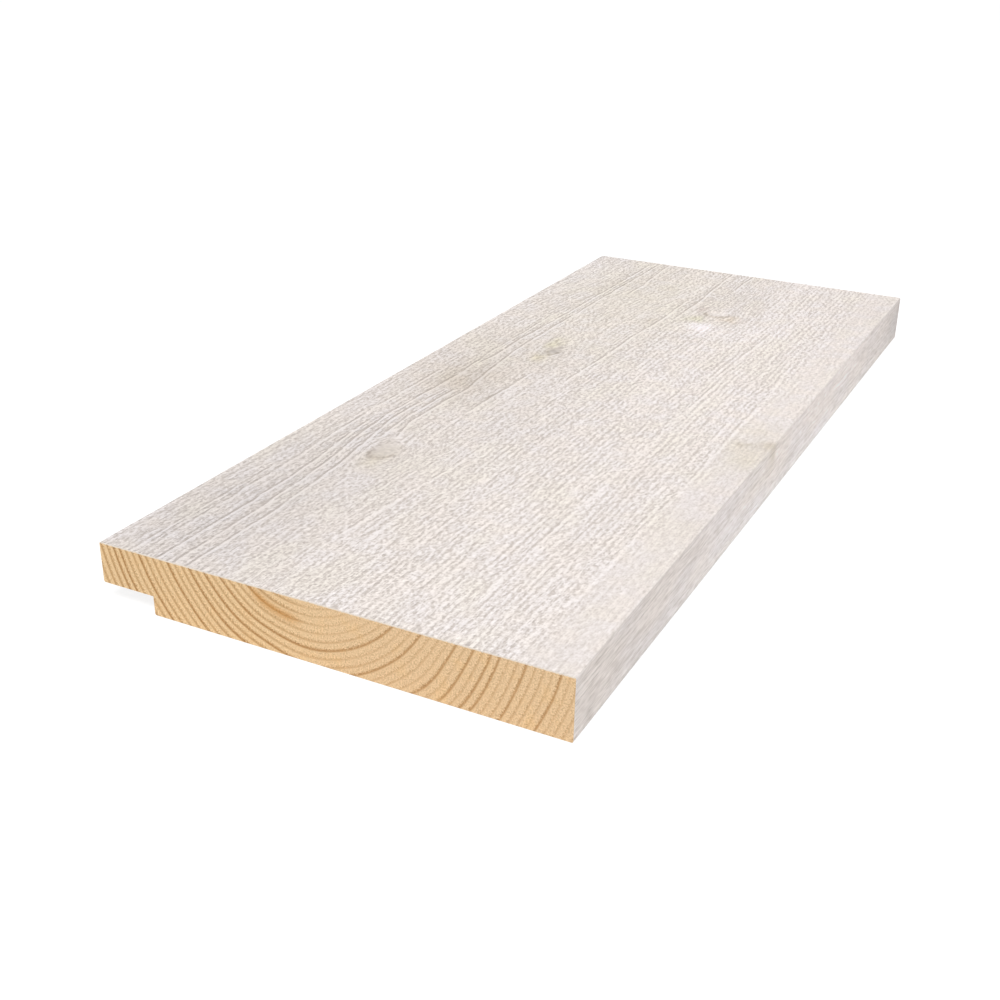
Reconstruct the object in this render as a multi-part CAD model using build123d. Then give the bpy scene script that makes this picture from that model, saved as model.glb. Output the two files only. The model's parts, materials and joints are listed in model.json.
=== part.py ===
from build123d import *
import os

# A single-rebate exterior cladding board, cut to a short length.
#
# The board is one piece of sawn and planed softwood. Its section is a rectangle with a rebate along
# the back of one long edge. The lip that the rebate leaves in front laps over the plain edge of the
# neighbouring board.
#
# The board lies on its back. X runs across the width, with the rebated edge at -X. Y runs along the
# grain, and +Z leaves the painted face. The origin is on the back's plane, under the board's middle.

# Driving dimensions, in millimetres
WIDTH = 148.0  # across the face, lip included
THICKNESS = 19.0  # from the back to the painted face
LENGTH = 360.0  # along the grain, from saw cut to saw cut
REBATE_WIDTH = 18.0  # how far the lip reaches over the neighbouring board
REBATE_DEPTH = 6.0  # how much of the thickness the rebate takes off the back
ARRIS_RADIUS = 0.5  # easing of the outer long edges


def rebated_section():
    """The cross-section: back on the X axis, rebate at the lower left, outer corners eased."""
    left_edge = -WIDTH / 2
    plank = Pos(0, THICKNESS / 2) * Rectangle(WIDTH, THICKNESS)
    rebate = Pos(left_edge, 0) * Rectangle(REBATE_WIDTH, REBATE_DEPTH, align=Align.MIN)
    section = plank - rebate
    inner_corner = Vector(left_edge + REBATE_WIDTH, REBATE_DEPTH)
    outer_corners = [corner for corner in section.vertices() if Vector(corner) != inner_corner]
    return fillet(outer_corners, ARRIS_RADIUS)


def cladding_board():
    """The section run along the grain, towards -Y, from one square saw cut to the other."""
    far_end = Plane.XZ.offset(-LENGTH / 2)
    return extrude(far_end * rebated_section(), LENGTH)


def main():
    os.makedirs("parts", exist_ok=True)
    export_step(cladding_board(), "parts/cladding_board.step")


main()
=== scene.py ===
import itertools
import json
import math

import bpy
import numpy as np
from mathutils import Matrix, Vector
from mathutils.geometry import delaunay_2d_cdt


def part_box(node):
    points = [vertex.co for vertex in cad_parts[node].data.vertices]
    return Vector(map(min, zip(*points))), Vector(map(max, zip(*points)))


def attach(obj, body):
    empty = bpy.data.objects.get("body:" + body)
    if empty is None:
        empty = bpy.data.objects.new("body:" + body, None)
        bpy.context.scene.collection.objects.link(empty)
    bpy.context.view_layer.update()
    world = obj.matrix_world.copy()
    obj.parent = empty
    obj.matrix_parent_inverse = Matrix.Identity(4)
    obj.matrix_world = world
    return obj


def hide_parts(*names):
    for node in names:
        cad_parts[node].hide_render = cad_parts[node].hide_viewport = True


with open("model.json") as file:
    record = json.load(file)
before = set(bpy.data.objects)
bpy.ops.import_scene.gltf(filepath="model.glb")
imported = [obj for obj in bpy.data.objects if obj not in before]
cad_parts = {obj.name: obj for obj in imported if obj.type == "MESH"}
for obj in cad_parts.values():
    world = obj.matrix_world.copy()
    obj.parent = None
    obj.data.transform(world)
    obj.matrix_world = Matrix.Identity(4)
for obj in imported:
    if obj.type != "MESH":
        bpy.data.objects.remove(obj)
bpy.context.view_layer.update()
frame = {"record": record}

# A short length of rebated softwood cladding: one board with a white, fine-sawn face and bare sawn ends.
# Board coordinates are in millimetres: across from the rebated edge, along from the near end, and height
# from the back.

MM = 0.001
NODE = "cladding_board"
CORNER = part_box(NODE)[0] / MM
WIDTH, LENGTH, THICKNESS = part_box(NODE)[1] / MM - CORNER
MOUNTS = {mount["name"]: Vector(mount["pos_m"]) / MM - CORNER for mount in frame["record"]["mounts"]}
REBATE_WIDTH = 2 * MOUNTS["rebate_seat"].x  # the mount is in the middle of the seat
REBATE_DEPTH = MOUNTS["rebate_seat"].z
ARRIS_RADIUS = 0.5

# How finely the board is meshed
ROWS = 225  # along the grain
FACE_COLUMNS = 300
PLAIN_EDGE_COLUMNS = 20
LIP_EDGE_COLUMNS = 10
BACK_COLUMNS = 40
SEAT_COLUMNS = 6
SHOULDER_COLUMNS = 3
ARRIS_STEPS = 3
END_STEP = 1.0
MAP_GAP = 7.0  # between the long sides and the ends on the map of the surface
SHARP_ANGLE = 60  # in degrees

# Growth rings are even circles, numbered from one that the near end shows whole. The tree's middle lay
# above the face, and the rings' centres sink as the rings grow.
RING_ACROSS, RING_HEIGHT = 69.8, 42.0
RING_SINK = 0.1  # for each millimetre of a ring's radius
RING_SPACING = 2.21
FIRST_RADIUS = 34.05
LATE_WOOD = 0.6  # where in its ring the late wood is darkest
RING_WOBBLE = 0.25  # in rings
STRONG_RINGS = {"left": (-3, 0, 2, 4, 7, 11, 14, 15), "right": (0, 3, 7, 9, 11, 12, 15, 19)}  # on the ends
CROSSING = 10.0  # on each side of the tree's middle, where the left's strong rings give way to the right's
WEAK_RINGS = ((50, 0.6), (90, 0.35))  # how hard the other rings are, as pairs of across and a share
WEAK_SPREAD = 0.2  # between one weak ring and another
PALE_FROM, PALE_TO = 62, 74  # the innermost rings pale over this stretch across the board
PALE_RING, FULL_RING = -2.5, 0.0
PALE_LOSS = 0.5
LATE_FALL = 0.22  # the width of the late wood's outer side, in rings

# The grain sways to the right at the far end, on the left part of the board only
SWAY = 8.0
SWAY_FROM, SWAY_TO = 255.0, 335.0
SWAYING_TO, STRAIGHT_FROM = 70.0, 100.0

# The sawn face, in millimetres: fine columns run along it, as if it had been combed
FACE_DEPTH = 0.08  # of its middle level below the board's outline
COMB_PITCH = 2.1
COMB_WANDER = 0.5  # in columns
COMB = 0.012
BEAD = 0.02
STRAND = 0.02
SWELL = 0.015
PLANED_FIBRES = 3.5  # how much longer they are on the edges than on the face
EDGE_FACING = 0.9  # how far sideways an edge's surface faces at least
EDGE_DEPTH = 0.03  # of an edge's middle level below the board's outline
EDGE_FIBRE = 0.02
EDGE_GRIT = 0.01
NIBBLE = 0.015  # on average, off the arrises
END_UNEVEN = 0.05

# The noises that shape the wood: a seed, and the size of a lump along each coordinate in millimetres
LUMPS = {
    "ring_wobble": (11, (14, 120, 14)),
    "ragged_aside": (21, (3, 5)),
    "ragged_ahead": (22, (3, 6)),
    "line_wander": (23, (7, 40)),
    "comb_wander": (31, (4, 24, 4)),
    "beads": (32, (0.95, 2.8)),
    "strands": (33, (1.2, 24)),
    "swells": (34, (7, 22)),
    "edge_fibres": (35, (1.2, 14)),
    "edge_grit": (36, (4, 3)),
    "nibbles": (37, (20, 2.5)),
    "uneven_end": (41, (5, 9, 1)),
}

# Raised lines on the face: how strong each is, and its course as pairs of across and along
LINES = (
    (1.0, ((20.5, 0), (21.0, 40), (20.8, 62), (19.1, 88), (17.2, 104), (16.4, 115))),
    (
        1.0,
        ((26.0, 0), (26.2, 22), (25.2, 62), (23.2, 87), (20.6, 103), (19.2, 123), (20.0, 148), (21.4, 172)),
    ),
    (0.8, ((21.4, 172), (19.5, 205), (20.3, 236), (20.0, 258))),
    (
        1.0,
        ((30.6, 0), (30.8, 35), (30.0, 60), (27.8, 85), (25.3, 102), (22.8, 119), (22.8, 133), (25.0, 155)),
    ),
    (0.9, ((21.9, 187), (23.3, 199), (22.8, 220), (24.4, 250), (26.0, 303), (26.8, 335), (27.3, 352))),
    (1.0, ((28.0, 105), (26.4, 125), (27.5, 155))),
    (
        1.0,
        ((33.0, 107), (29.8, 121), (30.4, 143), (31.8, 160))
        + ((29.7, 180), (27.2, 209), (28.4, 267), (31.0, 360)),
    ),
    (0.5, ((10.6, 0), (10.8, 40), (10.3, 68))),
    (0.6, ((14.0, 5), (13.3, 80), (11.6, 126), (12.8, 176))),
    (0.9, ((43.0, 139), (43.3, 157), (44.8, 168), (44.8, 186))),
    (0.5, ((56.8, 12), (56.4, 35), (58.2, 60), (59.3, 76), (61.6, 90), (62.0, 108), (62.9, 137))),
    (0.9, ((60.2, 182), (60.6, 204), (61.5, 218), (62.2, 252), (64.2, 276), (63.8, 303))),
    (1.0, ((68.5, 283), (69.2, 312), (68.5, 328), (68.2, 360))),
    (1.0, ((37.0, 304), (37.4, 320), (36.3, 336), (35.9, 360))),
    (0.7, ((77.3, 328), (78.2, 360))),
    (0.35, ((109.0, 26), (109.5, 72), (110.3, 118), (110.1, 172), (110.8, 212))),
    (0.35, ((108.4, 216), (109.4, 246), (111.5, 280))),
    (0.3, ((129.2, 0), (129.5, 100))),
    (0.35, ((131.3, 30), (131.6, 80), (132.1, 122), (131.8, 175), (130.8, 230))),
    (0.3, ((127.5, 130), (127.3, 178))),
)
LINE_FADE = 5.0  # at each end of a line
LINE_GROOVE = 0.05
LINE_BURR = 0.04
GROOVE_WIDTH = 0.4
BURR_WIDTH = 0.5
BURR_AWAY = 1.05  # from the middle of the groove, to its right
LINE_REACH = 2.0  # to each side
LINE_HELD = 0.65  # the share of its reach over which a line is at its strongest
LINE_WANDER = 0.3

# How deeply the saw marked the face and how clear its columns are, as pairs of across and a share
SAW_DEPTH = (
    ((0, 0.95), (20, 1.1), (36, 1.0), (58, 1.05), (75, 1.2))
    + ((100, 1.0), (130, 0.95), (137, 0.5), (148, 0.5))
)
COMB_DEPTH = (
    ((0, 0.6), (18, 0.7), (33, 0.3), (56, 0.4), (80, 0.7))
    + ((102, 1.0), (132, 1.0), (138, 0.5), (148, 0.5))
)
DEEPENING = 0.4  # how much deeper the marks get along this stretch of the board
DEEPENING_FROM, DEEPENING_TO = 60, 330
COMB_FADE = 0.25  # how much fainter the columns get along this one
COMB_FADE_FROM, COMB_FADE_TO = 90, 200
EDGE_SAWN = 0.55  # what the edges have of the marks and of the columns
EDGE_COMBED = 0.5
KNOT_SMOOTHING = 0.6

# Knots: across, along, half width, half length, how far the grain steps aside, and how dark the near rim
# is. The last one is a smooth spot, which the table below paints with a white, bluish highlight.
KNOTS = (
    (36.0, 95.5, 4.5, 7.0, 3.0, 0.20),
    (42.0, 215.0, 2.5, 5.0, 2.0, 0.30),
    (82.8, 294.0, 5.0, 4.0, 1.5, 0.38),
    (82.0, 272.5, 6.0, 7.0, 0.0, 0.0),
)
STEP_WIDTH, STEP_LENGTH = 4, 2.2  # where the grain steps aside, in half widths and half lengths
KNOT_FLAT, KNOT_EDGE = 0.6, 1.0  # from its middle, as shares of the knot's size
NEAR_SIDE_TO, FAR_SIDE_FROM = -0.5, 0.6
RIM_WIDTH = 0.22  # as a share of the knot's size
RIM_COLOUR = (0.85, 0.95, 1.10)  # how much of each colour a rim takes away

# Stains and patches in the coat, and two painted highlights by a knot: across, along, half width, half
# length, and what is left of the coat's colour
STAINS_AND_PAINTED_HIGHLIGHTS = (
    # The first is a broad darker, greyer patch over the near-left of the face
    (18.0, 35.0, 34.0, 88.0, (0.845, 0.845, 0.85)),
    (60.0, 135.0, 18.0, 25.0, (0.97, 0.97, 0.97)),
    (112.0, 270.0, 45.0, 110.0, (1.06, 1.06, 1.07)),
    (80.0, 342.0, 28.0, 22.0, (1.03, 1.03, 1.03)),
    (23.0, 185.0, 27.0, 50.0, (0.925, 0.915, 0.895)),
    (5.0, 335.0, 12.0, 40.0, (1.02, 1.03, 1.05)),
    (26.0, 168.0, 11.0, 16.0, (0.90, 0.88, 0.84)),
    (45.0, 300.0, 38.0, 70.0, (1.01, 1.01, 0.975)),
    (42.0, 215.0, 2.6, 4.5, (0.62, 0.61, 0.60)),
    (38.0, 223.0, 3.0, 7.0, (0.92, 0.92, 0.81)),
    (39.0, 206.0, 3.5, 5.0, (0.93, 0.92, 0.82)),
    (36.0, 95.0, 4.5, 6.5, (0.885, 0.875, 0.845)),
    (37.0, 85.0, 4.0, 5.0, (0.95, 0.94, 0.88)),
    (75.0, 298.0, 2.5, 2.5, (0.84, 0.80, 0.78)),
    (77.0, 283.0, 4.0, 4.0, (0.93, 0.95, 0.84)),
    (90.0, 289.0, 4.0, 3.0, (0.94, 0.89, 0.81)),
    # A painted highlight: a white, bluish glint over the smooth spot by the knot
    (82.0, 272.5, 6.0, 7.0, (1.15, 1.17, 1.24)),
    # A painted highlight on the far side of the knot's middle
    (82.5, 294.5, 4.5, 3.0, (1.08, 1.08, 1.07)),
    (147.0, 161.5, 4.5, 3.5, (0.82, 0.80, 0.74)),
    (139.5, 157.5, 4.5, 3.0, (0.83, 0.81, 0.76)),
    (142.0, 147.0, 8.0, 11.0, (0.925, 0.92, 0.865)),
    (141.0, 171.0, 7.0, 8.0, (0.97, 0.965, 0.93)),
    (144.0, 320.0, 9.0, 45.0, (0.965, 0.965, 0.97)),
    (144.0, 100.0, 8.0, 40.0, (0.975, 0.975, 0.985)),
    (43.0, 155.0, 2.0, 4.5, (0.86, 0.85, 0.83)),
    (30.0, 318.0, 3.0, 3.5, (0.91, 0.90, 0.86)),
    (52.0, 320.0, 3.0, 3.0, (0.91, 0.91, 0.89)),
    (61.0, 270.0, 2.0, 4.0, (0.93, 0.92, 0.89)),
    (53.0, 228.0, 2.0, 3.5, (0.93, 0.93, 0.91)),
)
STAIN_DEPTH = 8.0  # how far down an edge a stain reaches
RAGGED_ASIDE, RAGGED_AHEAD = 1.2, 3.0  # how far a stain's outline strays

# Lighter and darker patches on the plain edge: height, along, half height, half length, and what is left of
# the coat's colour
EDGE_PATCHES = (
    (3.0, 9.0, 2.5, 3.0, (0.88, 0.88, 0.88)),
    (8.0, 205.0, 30.0, 140.0, (1.125, 1.13, 1.14)),
    (2.0, 170.0, 5.0, 170.0, (1.0, 1.02, 1.035)),
    (9.0, 364.0, 14.0, 26.0, (0.81, 0.81, 0.81)),
)

# The white coat: the sizes of its lumps across, along and up in millimetres, and what they add to its rise.
# The rise shapes the relief, and the painted shade and highlight in the coat's colour.
BEAD_LENGTH = 2.0
GRIT_SIZE = (0.65, 2.2, 0.65)
FUZZ_SIZE = (0.65, 0.8, 0.65)
STRAND_SIZE = (0.8, 20, 0.8)
WIGGLE_SIZE = (1.6, 2.6, 1.6)
BREAK_SIZE = (1.6, 5, 1.6)
WARM_SIZE = (8, 8, 8)
CREAM_SIZE = (14, 24, 14)
COMB_RISE, BEAD_RISE, GRIT_RISE, FUZZ_RISE = 0.13, 0.26, 0.58, 0.36
EDGE_STRANDS, FACE_STRANDS = 0.5, 0.25
GROOVE_RISE, BURR_RISE = -0.25, 0.28
PAINTED_SHADE_RISE, PAINTED_HIGHLIGHT_RISE = -0.25, 0.21  # the rise at which the painted shade is darkest and the painted highlight palest
COAT_RELIEF = 0.6  # the share of the rise that shows as relief; all of it shows as painted shade and highlight

# Colours as 8-bit screen values
COOL_COAT, WARM_COAT, CREAM_COAT = (253, 246, 244), (255, 246, 240), (254, 246, 236)
# The painted shade in the coat's hollows and grooves
PAINTED_HOLLOW_SHADE = (207, 197, 190)
BACK_COAT, BACK_WOOD = (231, 223, 215), (205, 178, 143)
EARLY_LEFT, EARLY_RIGHT, EARLY_PATCH = (236, 203, 157), (231, 198, 156), (236, 199, 150)
LATE_COLOUR, SMEAR_COLOUR = (172, 124, 70), (206, 150, 84)
CREPT_COAT = (236, 226, 214)  # over the upper rim of the ends

# The stage, in metres and watts
FLOOR_GREY, FLOOR_GLOW, FLOOR_GLOW_SHARE = 0.85, 1.25, 0.65
FLOOR_HALF, FLOOR_HEIGHT = 3.0, -0.0002
WORLD_LIGHT = 0.35
KEY_PLACE, KEY_SIZE, KEY_POWER = (1.25, -2.95, 5.0), 2.5, 284.0


def smooth_step(low, high, value):
    """0 below low, 1 above high, and an S-curve between them."""
    share = np.clip((value - low) / (high - low), 0, 1)
    return share * share * (3 - 2 * share)


def hashed(cells, seed):
    """A fixed pseudo-random number from 0 to 1 for each cell of a lattice."""
    mixed = np.uint32(seed * 2654435761 % 2**32)
    for cell, odd in zip(cells, (374761393, 668265263, 2246822519)):
        mixed = mixed ^ (cell.astype(np.uint32) * np.uint32(odd))
        mixed = (mixed ^ (mixed >> np.uint32(15))) * np.uint32(2246822507)
        mixed = (mixed ^ (mixed >> np.uint32(13))) * np.uint32(3266489909)
    return (mixed ^ (mixed >> np.uint32(16))) / 2**32


def noise(seed, *coordinates):
    """Smooth noise from -1 to 1 that changes over about one unit of each coordinate."""
    coordinates = np.broadcast_arrays(*coordinates)
    cells = [np.floor(c).astype(np.int64) for c in coordinates]
    shares = [smooth_step(0, 1, c - cell) for c, cell in zip(coordinates, cells)]
    total = 0
    for corner in itertools.product((0, 1), repeat=len(coordinates)):
        weight = math.prod(share if far else 1 - share for far, share in zip(corner, shares))
        total = total + weight * hashed([cell + far for far, cell in zip(corner, cells)], seed)
    return 2 * total - 1


def lumps(name, *coordinates):
    """One of the noises that shape the wood."""
    seed, sizes = LUMPS[name]
    return noise(seed, *(coordinate / size for coordinate, size in zip(coordinates, sizes)))


def ring_radius(across, height):
    """The radius of the growth ring through each point of the section."""
    away, up = across - RING_ACROSS, height - RING_HEIGHT
    sunk = up * RING_SINK
    kept = 1 - RING_SINK**2
    return (np.sqrt(sunk**2 + kept * (away**2 + up**2)) + sunk) / kept


def grain_at(across, along):
    """Where across the board each point's grain would lie if it ran straight, with no sway and no knots."""
    swaying = 1 - smooth_step(SWAYING_TO, STRAIGHT_FROM, across)
    grain = across - SWAY * swaying * smooth_step(SWAY_FROM, SWAY_TO, along)
    for knot_across, knot_along, half_width, half_length, push, _ in KNOTS:
        aside = (across - knot_across) / half_width
        ahead = (along - knot_along) / (STEP_LENGTH * half_length)
        near = np.exp(-((aside / STEP_WIDTH) ** 2) - ahead**2)
        grain = grain - push * np.tanh(aside) * near
    return grain


def rings_at(grain, along, height):
    """The number of each point's growth ring, with how far out in it the point is as the fraction."""
    wobble = RING_WOBBLE * lumps("ring_wobble", grain, along, height)
    return (ring_radius(grain, height) - FIRST_RADIUS) / RING_SPACING + LATE_WOOD + wobble


def late_wood_at(rings, across):
    """How dark and hard the late wood of each point's ring is, from 0 to 1. Of the weaker rings, those on
    the left of the tree's middle are the harder ones, and the innermost ones on its right are paler."""
    ring = np.floor(rings)
    to_right = smooth_step(RING_ACROSS - CROSSING, RING_ACROSS + CROSSING, across)
    strong_left, strong_right = (np.isin(ring, STRONG_RINGS[side]) for side in ("left", "right"))
    strong = strong_left * (1 - to_right) + strong_right * to_right
    spread = WEAK_SPREAD * hashed([ring.astype(np.int64)], 13)
    weak = np.interp(across, *np.transpose(WEAK_RINGS)) + spread
    pale = smooth_step(PALE_FROM, PALE_TO, across) * (1 - smooth_step(PALE_RING, FULL_RING, rings))
    return (weak + (1 - weak) * strong) * (1 - PALE_LOSS * pale)


def lines_at(across, along):
    """How far right of the nearest raised line each point is, and how strong that line is there."""
    across, along = np.broadcast_arrays(across, along)
    away, strength = np.full(across.shape, 2 * LINE_REACH), np.zeros(across.shape)
    wander = LINE_WANDER * lumps("line_wander", along, across)
    for line_strength, course in LINES:
        line_across, line_along = np.transpose(course)
        started = smooth_step(line_along[0] - LINE_FADE, line_along[0] + LINE_FADE, along)
        stopped = smooth_step(line_along[-1] - LINE_FADE, line_along[-1] + LINE_FADE, along)
        from_line = across - np.interp(along, line_along, line_across) + wander
        reach = 1 - smooth_step(LINE_HELD * LINE_REACH, LINE_REACH, np.abs(from_line))
        shown = line_strength * started * (1 - stopped) * reach
        stronger = shown > strength
        away = np.where(stronger, from_line, away)
        strength = np.where(stronger, shown, strength)
    return away, strength


def knots_at(across, along):
    """How far inside a knot each point is, from 0 to 1, and how much the knots' rims darken it."""
    inside, rim = 0.0, 0.0
    for knot_across, knot_along, half_width, half_length, _, darkness in KNOTS:
        aside, ahead = (across - knot_across) / half_width, (along - knot_along) / half_length
        out = np.hypot(aside, ahead)
        near_side = 1 - smooth_step(NEAR_SIDE_TO, FAR_SIDE_FROM, ahead)
        inside = np.maximum(inside, 1 - smooth_step(KNOT_FLAT, KNOT_EDGE, out))
        rim = np.maximum(rim, darkness * near_side * np.exp(-(((out - 1) / RIM_WIDTH) ** 2)))
    return inside, rim


def tint_at(across, along, height):
    """What the stains and patches, the painted highlights by a knot, the knots' rims and the patches on the
    plain edge leave of the coat's colour at each point, as red, green and blue."""
    across, along, height = np.broadcast_arrays(across, along, height)
    ragged_across = across + RAGGED_ASIDE * lumps("ragged_aside", across, along)
    ragged_along = along + RAGGED_AHEAD * lumps("ragged_ahead", across, along)
    sunk = ((THICKNESS - height) / STAIN_DEPTH) ** 2
    tint = np.ones((*across.shape, 3))
    for spot_across, spot_along, half_width, half_length, colour in STAINS_AND_PAINTED_HIGHLIGHTS:
        aside = (ragged_across - spot_across) / half_width
        ahead = (ragged_along - spot_along) / half_length
        strength = np.exp(-(aside**2) - ahead**2 - sunk)
        tint *= 1 + strength[..., None] * (np.array(colour) - 1)
    _, rim = knots_at(across, along)
    tint *= 1 - (rim * np.exp(-sunk))[..., None] * np.array(RIM_COLOUR)
    on_plain_edge = across > WIDTH - ARRIS_RADIUS / 2
    for patch_height, patch_along, half_height, half_length, colour in EDGE_PATCHES:
        up, ahead = (height - patch_height) / half_height, (along - patch_along) / half_length
        strength = on_plain_edge * np.exp(-(up**2) - ahead**2)
        tint *= 1 + strength[..., None] * (np.array(colour) - 1)
    return tint


def comb_at(grain, along, height):
    """The number of each point's column, which is whole in the hollow between two columns."""
    return (grain + height) / COMB_PITCH + COMB_WANDER * lumps("comb_wander", grain, along, height)


def face_level(grain, along, columns):
    """How high the sawn face stands at each point, in millimetres from its middle level."""
    beads, strands, swells = (lumps(name, grain, along) for name in ("beads", "strands", "swells"))
    return BEAD * beads + STRAND * strands + SWELL * swells - COMB * np.cos(2 * np.pi * columns)


def line_level(away):
    """The groove of a raised line and the burr beside it, in millimetres, for points away to its right."""
    burr = LINE_BURR * np.exp(-(((away - BURR_AWAY) / BURR_WIDTH) ** 2))
    return burr - LINE_GROOVE * np.exp(-((away / GROOVE_WIDTH) ** 2))


def edge_level(height, along):
    """How high a planed long edge stands at each point, in millimetres from its middle level."""
    return EDGE_FIBRE * lumps("edge_fibres", height, along) + EDGE_GRIT * lumps("edge_grit", height, along)


def section_loop():
    """Points once round the section from the rebate's inner corner, as arrays of across and height, of the
    outward normal, and of the name of the run that each point starts."""
    runs = (
        ("seat", (REBATE_WIDTH, REBATE_DEPTH), SEAT_COLUMNS),
        ("lip_edge", (0.0, REBATE_DEPTH), LIP_EDGE_COLUMNS),
        ("face", (0.0, THICKNESS), FACE_COLUMNS),
        ("plain_edge", (WIDTH, THICKNESS), PLAIN_EDGE_COLUMNS),
        ("back", (WIDTH, 0.0), BACK_COLUMNS),
        ("shoulder", (REBATE_WIDTH, 0.0), SHOULDER_COLUMNS),
    )
    points, normals, names = [], [], []
    for index, (name, start, columns) in enumerate(runs):
        following = (index + 1) % len(runs)
        first, last = Vector(start), Vector(runs[following][1])
        way = (last - first).normalized()
        normal = Vector((-way.y, way.x))
        eased_first = first + way * (ARRIS_RADIUS if index else 0.0)
        eased_last = last - way * (ARRIS_RADIUS if following else 0.0)
        for step in range(columns + 1 if following else columns):
            points.append(eased_first.lerp(eased_last, step / columns))
            normals.append(normal)
            names.append(name)
        if following:
            centre = eased_last - normal * ARRIS_RADIUS
            for step in range(1, ARRIS_STEPS):
                turned = Matrix.Rotation(-math.pi / 2 * step / ARRIS_STEPS, 2) @ normal
                points.append(centre + turned * ARRIS_RADIUS)
                normals.append(turned)
                names.append(name)
    return np.array(points), np.array(normals), np.array(names)


def board_surface(points, normals, names):
    """The long sides' vertices, a row of section points for each step along the grain, and their fields."""
    across, height = points[:, :1], points[:, 1:]
    along = np.linspace(0, LENGTH, ROWS + 1)[None, :]
    grain = grain_at(across, along)
    rings = rings_at(grain, along, height)
    columns = comb_at(grain, along, height)
    away, strength = lines_at(across, along)
    in_knot, _ = knots_at(across, along)

    coated = np.isin(names, ("lip_edge", "face", "plain_edge"))[:, None]
    on_face = np.clip(normals[:, 1:], 0, 1)
    on_edge = np.abs(normals[:, :1]) * coated
    fibre_length = np.where(np.abs(normals[:, :1]) > EDGE_FACING, PLANED_FIBRES, 1.0)
    depth = np.interp(across, *np.transpose(SAW_DEPTH))
    depth = depth * (1 + DEEPENING * smooth_step(DEEPENING_FROM, DEEPENING_TO, along))
    combed = np.interp(across, *np.transpose(COMB_DEPTH))
    combed = combed * (1 - COMB_FADE * smooth_step(COMB_FADE_FROM, COMB_FADE_TO, along))
    sawn = (EDGE_SAWN * (1 - on_face) + depth * on_face) * (1 - KNOT_SMOOTHING * in_knot)
    level = on_face * sawn * face_level(grain, along, columns) + on_edge * edge_level(height, along)
    level = level + on_face * strength * line_level(away)
    on_arris = 4 * on_face * on_edge
    nibbled = on_arris * (NIBBLE + NIBBLE * lumps("nibbles", across, along))
    middle = on_face * FACE_DEPTH + on_edge * EDGE_DEPTH
    sunk = np.clip(middle - level, 0.0, 2 * FACE_DEPTH) + nibbled
    place = np.broadcast_arrays(across - normals[:, :1] * sunk, along, height - normals[:, 1:] * sunk)
    fields = {
        "place": np.stack(place, -1),
        "flow": np.stack(np.broadcast_arrays(grain, along / fibre_length, height), -1),
        "rings": rings,
        "late": late_wood_at(rings, grain),
        "columns": columns,
        "combed": on_edge * EDGE_COMBED + on_face * combed,
        "sawn": sawn,
        "level": level,
        "upward": on_face,
        "lines": np.stack(np.broadcast_arrays(away, strength * on_face, 0.0), -1),
        "tint": tint_at(across, along, height),
    }
    return {name: by_rows(field, fields["place"].shape[:2]) for name, field in fields.items()}


def by_rows(field, shape):
    """A field over the section and along the board, as a list that goes round the section row by row."""
    full = np.broadcast_to(field, (*shape, *field.shape[2:]))
    return np.moveaxis(full, 0, 1).reshape(-1, *field.shape[2:])


def inside_section(across, height, margin):
    """True for points inside the section by more than a margin."""
    in_width = (across > margin) & (across < WIDTH - margin)
    in_thickness = (height > margin) & (height < THICKNESS - margin)
    in_rebate = (across < REBATE_WIDTH + margin) & (height < REBATE_DEPTH + margin)
    return in_width & in_thickness & ~in_rebate


def end_mesh(rim):
    """Triangles over an end, and the points that they need inside its rim."""
    across, height = np.meshgrid(
        np.arange(END_STEP / 2, WIDTH, END_STEP), np.arange(END_STEP / 2, THICKNESS, END_STEP)
    )
    inside = inside_section(across, height, END_STEP / 2)
    inner = np.stack([across[inside], height[inside]], -1)
    outline = [list(range(len(rim)))]
    flat = [Vector(point) for point in np.concatenate([rim, inner])]
    made = delaunay_2d_cdt(flat, [], outline, 1, 1e-6)
    source = [origins[0] for origins in made[3]]
    return inner, [[source[corner] for corner in face] for face in made[2]]


def end_fields(inner, along):
    """Vertices inside an end, with their fields. The saw left the end a little uneven."""
    across, height = inner[:, 0], inner[:, 1]
    along_all = np.full_like(across, along)
    uneven = END_UNEVEN * (1 + lumps("uneven_end", across, height, along_all))
    inwards = 1 if along == 0 else -1
    grain = grain_at(across, along)
    rings = rings_at(grain, along_all, height)
    return {
        "place": np.stack([across, along + inwards * uneven, height], -1),
        "flow": np.stack([grain, along_all, height], -1),
        "rings": rings,
        "late": late_wood_at(rings, grain),
        "columns": np.zeros_like(across),
        "combed": np.zeros_like(across),
        "sawn": np.ones_like(across),
        "level": np.zeros_like(across),
        "upward": np.zeros_like(across),
        "lines": np.zeros((len(across), 3)),
        "tint": np.ones((len(across), 3)),
    }


def join_fields(parts):
    return {name: np.concatenate([part[name] for part in parts]) for name in parts[0]}


def add_attributes(mesh, fields):
    """Keeps on the mesh what the finishes read: how the grain flows, the rings, the columns, how rough the
    saw left the wood, how high it stands, how far it faces up, the raised lines, and the tint of the
    stains, the painted highlights and the patches."""
    for name, kind, key in (
        ("flow", "FLOAT_VECTOR", "vector"),
        ("rings", "FLOAT", "value"),
        ("late", "FLOAT", "value"),
        ("columns", "FLOAT", "value"),
        ("combed", "FLOAT", "value"),
        ("sawn", "FLOAT", "value"),
        ("level", "FLOAT", "value"),
        ("upward", "FLOAT", "value"),
        ("lines", "FLOAT_VECTOR", "vector"),
        ("tint", "FLOAT_VECTOR", "vector"),
    ):
        attribute = mesh.attributes.new(name, kind, "POINT")
        attribute.data.foreach_set(key, fields[name].astype(np.float32).ravel())


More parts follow.
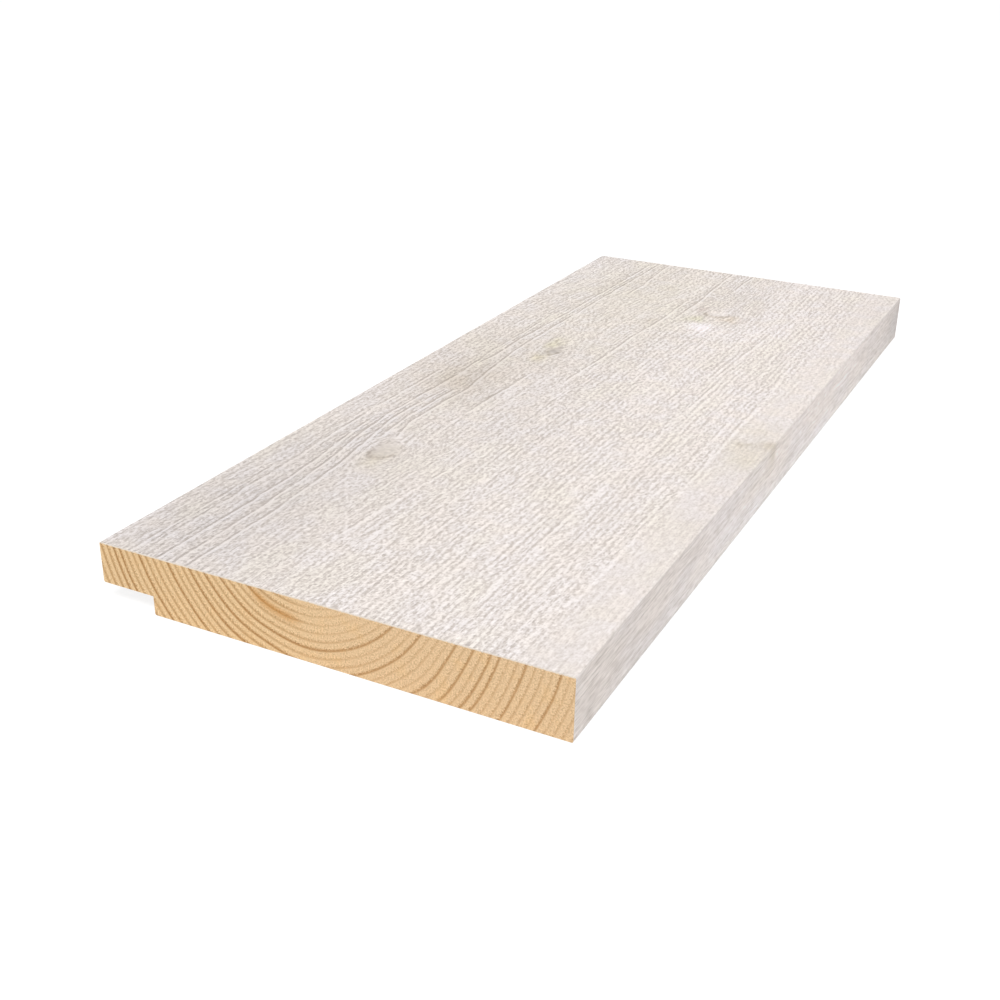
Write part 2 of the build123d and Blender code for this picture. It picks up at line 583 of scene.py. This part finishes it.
def build_board(finishes):
    """The whole board as one closed mesh, with a finish for the outside, the back and the sawn ends."""
    points, normals, names = section_loop()
    around = len(points)
    sides = board_surface(points, normals, names)
    near_rim = sides["place"][:around, [0, 2]]
    far_rim = sides["place"][-around:, [0, 2]]
    near_inner, near_faces = end_mesh(near_rim)
    far_inner, far_faces = end_mesh(far_rim)
    fields = join_fields([sides, end_fields(near_inner, 0.0), end_fields(far_inner, LENGTH)])

    # The map of the surface has the long sides unrolled side by side, and the two ends beyond them
    steps = np.linalg.norm(points - np.roll(points, 1, axis=0), axis=1)
    unrolled = np.append(np.cumsum(steps) - steps[0], steps.sum())
    end_row = LENGTH + MAP_GAP
    faces, slots, spots = [], [], []
    for row, column in itertools.product(range(ROWS), range(around)):
        following = (column + 1) % around
        here, there = row * around, (row + 1) * around
        faces.append((here + column, there + column, there + following, here + following))
        slots.append(0 if names[column] in ("lip_edge", "face", "plain_edge") else 1)
        left, right = unrolled[column], unrolled[column + 1]
        low, high = row * LENGTH / ROWS, (row + 1) * LENGTH / ROWS
        spots += [(left, low), (left, high), (right, high), (right, low)]
    first_inner = (ROWS + 1) * around
    for end_faces, rim_start, inner_start in (
        (near_faces, 0, first_inner),
        (far_faces, ROWS * around, first_inner + len(near_inner)),
    ):
        for face in end_faces:
            corners = [rim_start + c if c < around else inner_start + c - around for c in face]
            corners = corners if rim_start == 0 else corners[::-1]
            faces.append(tuple(corners))
            slots.append(2)
            for across, _, height in fields["place"][corners]:
                spots.append((across if rim_start == 0 else 2 * WIDTH + MAP_GAP - across, end_row + height))

    mesh = bpy.data.meshes.new("board")
    mesh.from_pydata((fields["place"] + np.array(CORNER)) * MM, [], faces)
    for finish in finishes:
        mesh.materials.append(finish)
    mesh.polygons.foreach_set("material_index", slots)
    surface_map = mesh.uv_layers.new(name="OFBake")
    spots = (np.array(spots) / (end_row + THICKNESS)).astype(np.float32)
    surface_map.uv.foreach_set("vector", spots.ravel())
    mesh.shade_smooth()
    mesh.set_sharp_from_angle(angle=math.radians(SHARP_ANGLE))
    add_attributes(mesh, fields)
    mesh.validate()
    board = bpy.data.objects.new("board", mesh)
    bpy.context.collection.objects.link(board)
    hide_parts(NODE)
    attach(board, "root")
    return board


class Finish:
    """A node tree, with a method for each kind of node that the finishes use."""

    def __init__(self, owner):
        owner.use_nodes = True
        self.owner = owner
        self.tree = owner.node_tree
        self.tree.nodes.clear()

    def add(self, kind, inputs=None, **settings):
        node = self.tree.nodes.new(kind)
        for name, value in settings.items():
            setattr(node, name, value)
        for name, value in (inputs or {}).items():
            if isinstance(value, bpy.types.NodeSocket):
                self.tree.links.new(value, node.inputs[name])
            else:
                node.inputs[name].default_value = value
        return node

    def attribute(self, name, output="Fac"):
        return self.add("ShaderNodeAttribute", attribute_name=name).outputs[output]

    def maths(self, operation, first, second=0.0):
        return self.add("ShaderNodeMath", {0: first, 1: second}, operation=operation).outputs[0]

    def times(self, *values):
        product = values[0]
        for value in values[1:]:
            product = self.maths("MULTIPLY", product, value)
        return product

    def total(self, *values):
        found = values[0]
        for value in values[1:]:
            found = self.maths("ADD", found, value)
        return found

    def scaled(self, vector, across, along, height):
        """A vector in millimetres, measured in steps of a size of its own along each axis."""
        steps = (1 / across, 1 / along, 1 / height)
        return self.add("ShaderNodeVectorMath", {0: vector, 1: steps}, operation="MULTIPLY").outputs[0]

    def moved(self, vector, steps):
        """A vector moved across the board."""
        inputs = {0: vector, 1: (steps, 0.0, 0.0)}
        return self.add("ShaderNodeVectorMath", inputs, operation="ADD").outputs[0]

    def noise(self, vector, detail=1.0, roughness=0.5):
        """Noise round 0, mostly from -0.3 to 0.3."""
        inputs = {"Vector": vector, "Scale": 1.0, "Detail": detail, "Roughness": roughness}
        return self.maths("SUBTRACT", self.add("ShaderNodeTexNoise", inputs).outputs["Fac"], 0.5)

    def stretch(self, value, low, high, to_low=0.0, to_high=1.0):
        inputs = {"Value": value, "From Min": low, "From Max": high, "To Min": to_low, "To Max": to_high}
        return self.add("ShaderNodeMapRange", inputs, interpolation_type="SMOOTHSTEP").outputs[0]

    def mix(self, share, first, second, blend="MIX"):
        inputs = {0: share, 6: first, 7: second}
        return self.add("ShaderNodeMix", inputs, data_type="RGBA", blend_type=blend).outputs[2]

    def bump(self, height):
        """The normal over a relief whose height is in millimetres."""
        return self.add("ShaderNodeBump", {"Height": height, "Distance": MM}).outputs[0]

    def ridges(self, vector, pitch, depth):
        """Noise with hollows beside its ridges, about as far away across the board as the pitch."""
        crests, hollows = (self.noise(self.moved(vector, steps), 1.0, 0.6) for steps in (0.0, pitch))
        return self.total(crests, self.times(hollows, -depth))

    def late_wood(self, fraying, width):
        """Where the late wood is, from 0 to 1, as a band of some width in each ring. Its outer side is the
        sharper one."""
        part = self.maths("FRACT", self.total(self.attribute("rings"), fraying))
        rising = self.stretch(part, self.maths("SUBTRACT", LATE_WOOD, width), LATE_WOOD)
        return self.times(rising, self.stretch(part, LATE_WOOD, LATE_WOOD + LATE_FALL, 1.0, 0.0))

    def seen(self):
        """1 for rays that show the background or the floor, and 0 for those that only carry light."""
        rays = self.add("ShaderNodeLightPath").outputs
        mirrored = self.maths("MAXIMUM", rays["Is Glossy Ray"], rays["Is Transmission Ray"])
        return self.maths("MAXIMUM", rays["Is Camera Ray"], mirrored)

    def surface(self, **inputs):
        shader = self.add("ShaderNodeBsdfPrincipled", {k.replace("_", " "): v for k, v in inputs.items()})
        self.add("ShaderNodeOutputMaterial", {"Surface": shader.outputs[0]})
        return self.owner


def linear(red, green, blue):
    """A colour given as 8-bit screen values, as Blender takes it."""
    parts = [value / 255 for value in (red, green, blue)]
    return (*((p / 12.92 if p <= 0.04045 else ((p + 0.055) / 1.055) ** 2.4) for p in parts), 1.0)


def white_coat():
    """White primer over the fine-sawn face, with its stains. The columns and the raised lines show as
    relief, and in the colour as painted shade in the hollows and grooves and painted highlight on the
    crests, beads and burrs.
    """
    f = Finish(bpy.data.materials.new("white_sawn_coat"))
    flow, sawn = f.attribute("flow", "Vector"), f.attribute("sawn")
    column, upward = f.attribute("columns"), f.attribute("upward")
    along = f.add("ShaderNodeSeparateXYZ", {0: flow}).outputs["Y"]
    in_columns = f.add("ShaderNodeCombineXYZ", {0: column, 1: f.times(along, 1 / BEAD_LENGTH)})
    beads = f.noise(in_columns.outputs[0])
    grit = f.ridges(f.scaled(flow, *GRIT_SIZE), 1.6, 0.4)
    fuzz = f.noise(f.scaled(flow, *FUZZ_SIZE), 0.0)
    strands = f.ridges(f.scaled(flow, *STRAND_SIZE), 1.5, 0.45)
    patches = f.noise(f.scaled(flow, *CREAM_SIZE), 1.0)
    broken = f.stretch(f.noise(f.scaled(flow, *BREAK_SIZE), 2.0), -0.25, 0.1)
    wiggle = f.times(f.noise(f.scaled(flow, *WIGGLE_SIZE)), 0.4)
    dashes = f.stretch(beads, -0.2, 0.2, 0.4, 1.6)
    off_middle = f.maths("ABSOLUTE", f.total(f.maths("FRACT", f.total(column, wiggle)), -0.5))
    comb = f.times(f.stretch(off_middle, 0.5, 0.05, -0.5, 0.5), f.attribute("combed"), dashes)
    line = f.add("ShaderNodeSeparateXYZ", {0: f.attribute("lines", "Vector")}).outputs
    groove = f.times(f.stretch(f.maths("ABSOLUTE", line["X"]), 0.6, 0.05), line["Y"], broken)
    burr = f.times(f.stretch(f.maths("ABSOLUTE", f.total(line["X"], -BURR_AWAY)), 0.95, 0.1), line["Y"])
    rise = f.total(
        f.times(comb, COMB_RISE),
        f.times(beads, BEAD_RISE),
        f.times(grit, GRIT_RISE),
        f.times(fuzz, FUZZ_RISE),
        f.times(strands, f.stretch(upward, 0.0, 1.0, EDGE_STRANDS, FACE_STRANDS)),
        f.times(groove, GROOVE_RISE),
        f.times(burr, BURR_RISE),
    )
    rise = f.times(rise, sawn)
    # Painted shade and highlight: the coat's colour goes towards the painted hollow shade where the rise is
    # low, in the hollows between beads and columns and in the grooves, and pales where it is high, on the
    # crests, beads and burrs.
    light = f.stretch(f.total(rise, f.attribute("level")), PAINTED_SHADE_RISE, PAINTED_HIGHLIGHT_RISE)
    warm = f.stretch(f.noise(f.scaled(flow, *WARM_SIZE), 0.0), -0.2, 0.2)
    tone = f.mix(warm, linear(*COOL_COAT), linear(*WARM_COAT))
    cream = f.times(f.stretch(patches, -0.05, 0.25, 0.0, 0.85), upward)
    tone = f.mix(cream, tone, linear(*CREAM_COAT))
    shaded = f.mix(light, linear(*PAINTED_HOLLOW_SHADE), tone)
    colour = f.mix(1.0, shaded, f.attribute("tint", "Color"), "MULTIPLY")
    bump = f.bump(f.times(rise, COAT_RELIEF))
    return f.surface(Base_Color=colour, Roughness=0.8, Specular_IOR_Level=0.25, Normal=bump)


def thin_coat():
    """One thin coat on the planed back and in the rebate, with more of the wood's own colour in it."""
    f = Finish(bpy.data.materials.new("thin_planed_coat"))
    flow = f.attribute("flow", "Vector")
    fibres = f.noise(f.scaled(flow, 0.5, 9, 0.5), 3.0, 0.6)
    lines = f.times(f.late_wood(f.times(fibres, 0.2), 0.5), f.attribute("late"))
    bare = f.total(f.times(lines, 0.3), f.stretch(fibres, -0.05, 0.25, 0.0, 0.2))
    colour = f.mix(bare, linear(*BACK_COAT), linear(*BACK_WOOD))
    bump = f.bump(f.times(fibres, 0.06))
    return f.surface(Base_Color=colour, Roughness=0.7, Specular_IOR_Level=0.3, Normal=bump)


def end_grain():
    """Bare softwood across the grain: pale early wood, brown late wood, and fibres torn by the saw."""
    f = Finish(bpy.data.materials.new("sawn_end_grain"))
    flow = f.attribute("flow", "Vector")
    place = f.add("ShaderNodeSeparateXYZ", {0: flow}).outputs
    torn = f.stretch(f.noise(f.scaled(flow, 2.2, 2.2, 2.2)), -0.2, 0.2, 0.55, 1.35)
    fuzz = f.times(f.noise(f.scaled(flow, 0.5, 0.5, 0.5), 2.0, 0.6), torn)
    patches = f.noise(f.scaled(flow, 6, 6, 6), 2.0)
    right, hard = f.stretch(place["X"], 45, 95), f.attribute("late")
    width = f.total(f.times(hard, 0.2), f.stretch(right, 0.0, 1.0, 0.32, 0.15))
    late = f.times(f.late_wood(f.times(fuzz, 0.6), width), hard, f.stretch(right, 0.0, 1.0, 0.9, 0.75))
    smear = f.stretch(f.maths("ABSOLUTE", f.total(f.attribute("rings"), 3.0 - LATE_WOOD)), 0.9, 0.3)
    smear = f.times(smear, f.stretch(place["X"], 50, 56), f.stretch(place["X"], 64, 70, 1.0, 0.0))
    wood = f.mix(right, linear(*EARLY_LEFT), linear(*EARLY_RIGHT))
    wood = f.mix(f.stretch(patches, 0.0, 0.25, 0.0, 0.7), wood, linear(*EARLY_PATCH))
    wood = f.mix(late, wood, linear(*LATE_COLOUR))
    wood = f.mix(f.times(smear, 0.5), wood, linear(*SMEAR_COLOUR))
    worn = f.mix(f.stretch(fuzz, -0.2, 0.2), (1.14, 1.16, 1.2, 1.0), (0.78, 0.76, 0.72, 1.0))
    wood = f.mix(1.0, wood, worn, "MULTIPLY")
    crept = f.total(place["Z"], f.times(fuzz, 0.8))
    colour = f.mix(f.stretch(crept, THICKNESS - 0.6, THICKNESS - 0.3), wood, linear(*CREPT_COAT))
    bump = f.bump(f.times(fuzz, 0.2))
    return f.surface(Base_Color=colour, Roughness=0.85, Specular_IOR_Level=0.2, Normal=bump)


def add_floor():
    """A pale floor that renders white in the open and keeps the board's shadow."""
    f = Finish(bpy.data.materials.new("pale_floor"))
    matt = f.add("ShaderNodeBsdfDiffuse", {"Color": (FLOOR_GREY, FLOOR_GREY, FLOOR_GREY, 1.0)}).outputs[0]
    glow = f.add("ShaderNodeEmission", {"Color": (1.0, 1.0, 1.0, 1.0), "Strength": FLOOR_GLOW}).outputs[0]
    share = f.times(f.seen(), FLOOR_GLOW_SHARE)
    mixed = f.add("ShaderNodeMixShader", {0: share, 1: matt, 2: glow}).outputs[0]
    f.add("ShaderNodeOutputMaterial", {"Surface": mixed})
    sides = ((-1, -1), (1, -1), (1, 1), (-1, 1))
    corners = [(x * FLOOR_HALF, y * FLOOR_HALF, FLOOR_HEIGHT) for x, y in sides]
    mesh = bpy.data.meshes.new("floor")
    mesh.from_pydata(corners, [], [range(4)])
    mesh.materials.append(f.owner)
    floor = bpy.data.objects.new("floor", mesh)
    bpy.context.collection.objects.link(floor)


def add_lamp(name, place, size, power):
    """A square soft lamp that looks at the board."""
    lamp = bpy.data.lights.new(name, "AREA")
    lamp.size, lamp.energy = size, power
    holder = bpy.data.objects.new(name, lamp)
    holder.location = place
    holder.rotation_euler = (-Vector(place)).to_track_quat("-Z", "Y").to_euler()
    bpy.context.collection.objects.link(holder)


def add_world():
    """Even light from all round, with white behind the board."""
    f = Finish(bpy.data.worlds.new("studio"))
    strength = f.stretch(f.seen(), 0.0, 1.0, WORLD_LIGHT, 1.0)
    sky = f.add("ShaderNodeBackground", {"Color": (1.0, 1.0, 1.0, 1.0), "Strength": strength}).outputs[0]
    f.add("ShaderNodeOutputWorld", {"Surface": sky})
    bpy.context.scene.world = f.owner


def add_camera():
    """The photograph's viewing angle: from the right of the near end, with a slight roll."""
    place, target = Vector((0.1784, -0.4280, 0.1916)), Vector((0.0037, -0.0826, 0.0094))
    roll = math.radians(0.87)
    image_side, focal_length = 1000, 1331.2  # in pixels
    camera = bpy.data.cameras.new("camera")
    camera.sensor_width = 36.0
    camera.lens = camera.sensor_width * focal_length / image_side
    camera.clip_start = 0.01
    holder = bpy.data.objects.new("camera", camera)
    turn = (target - place).to_track_quat("-Z", "Y").to_matrix() @ Matrix.Rotation(roll, 3, "Z")
    holder.matrix_world = Matrix.Translation(place) @ turn.to_4x4()
    bpy.context.collection.objects.link(holder)
    bpy.context.scene.camera = holder


build_board((white_coat(), thin_coat(), end_grain()))
add_floor()
add_lamp("key", KEY_PLACE, KEY_SIZE, KEY_POWER)
add_world()
add_camera()
bpy.context.scene.view_settings.view_transform = "Standard"
